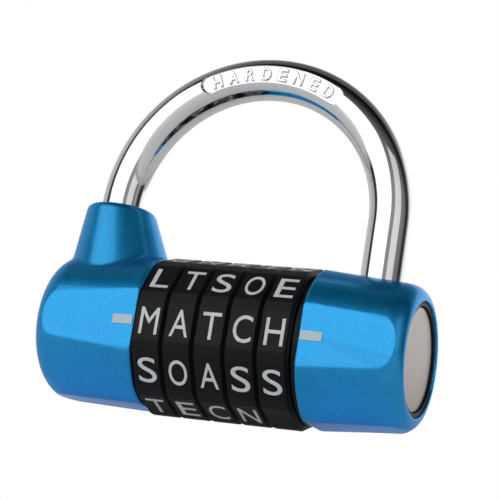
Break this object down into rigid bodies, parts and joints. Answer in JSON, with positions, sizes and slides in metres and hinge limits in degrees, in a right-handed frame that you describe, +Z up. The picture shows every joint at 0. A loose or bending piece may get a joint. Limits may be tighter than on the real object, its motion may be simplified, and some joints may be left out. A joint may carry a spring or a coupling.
{
  "type": "padlock",
  "caption": "Barrel combination padlock with letter dials between two blue lacquered housings, a heel tower and a round chromed shackle that lifts when the spindle draws back.",
  "frame": {"origin": "middle of the box round the whole lock, at the level of the lowest dial edges", "axes": "+X along the barrel towards the badge end, +Z up along the shackle's legs, -Y towards the index marks at the front"},
  "size_m": [0.0724, 0.0294, 0.0712],
  "materials": {
    "lacquer": "metallic blue lacquer under a clear coat, glossy",
    "dial_plastic": "satin black with off-white letters",
    "black_trim": "satin black",
    "chrome": "polished chrome plate",
    "satin_steel": "satin silver",
    "plain_steel": "plain machined steel",
    "brass": "machined brass",
    "white_paint": "printed off-white bar"
  },
  "bodies": {
    "body": {"left_housing": "lacquer", "right_housing": "lacquer", "core_tube": "plain_steel", "badge_bezel": "black_trim", "end_badge": "satin_steel", "right_spacer": "black_trim", "left_index_mark": "white_paint", "right_index_mark": "white_paint", "left_core_pin": "plain_steel", "right_core_pin": "plain_steel"},
    "shackle": {"shackle": "chrome", "heel_ring": "plain_steel"},
    "spindle": {"locking_spindle": "brass"},
    "dial_1": {"dial_1": "dial_plastic", "gate_ring_1": "brass"},
    "dial_2": {"dial_2": "dial_plastic", "gate_ring_2": "brass"},
    "dial_3": {"dial_3": "dial_plastic", "gate_ring_3": "brass"},
    "dial_4": {"dial_4": "dial_plastic", "gate_ring_4": "brass"},
    "dial_5": {"dial_5": "dial_plastic", "gate_ring_5": "brass"}
  },
  "joints": [
    {"name": "dial_1_turn", "type": "hinge", "parent": "body", "child": "dial_1", "pos_m": [-0.01125, 0, 0.01516], "axis": [1, 0, 0], "continuous": true},
    {"name": "dial_2_turn", "type": "hinge", "parent": "body", "child": "dial_2", "pos_m": [-0.00515, 0, 0.01516], "axis": [1, 0, 0], "continuous": true},
    {"name": "dial_3_turn", "type": "hinge", "parent": "body", "child": "dial_3", "pos_m": [0.00095, 0, 0.01516], "axis": [1, 0, 0], "continuous": true},
    {"name": "dial_4_turn", "type": "hinge", "parent": "body", "child": "dial_4", "pos_m": [0.00705, 0, 0.01516], "axis": [1, 0, 0], "continuous": true},
    {"name": "dial_5_turn", "type": "hinge", "parent": "body", "child": "dial_5", "pos_m": [0.01315, 0, 0.01516], "axis": [1, 0, 0], "continuous": true},
    {"name": "shackle_lift", "type": "slide", "parent": "body", "child": "shackle", "axis": [0, 0, 1], "range_m": [0, 0.0255]},
    {"name": "spindle_slide", "type": "slide", "parent": "body", "child": "spindle", "axis": [-1, 0, 0], "range_m": [0, 0.0036]}
  ],
  "couplings": [
    {"joint": "spindle_slide", "follows": "shackle_lift", "ratio": 0.14118}
  ]
}
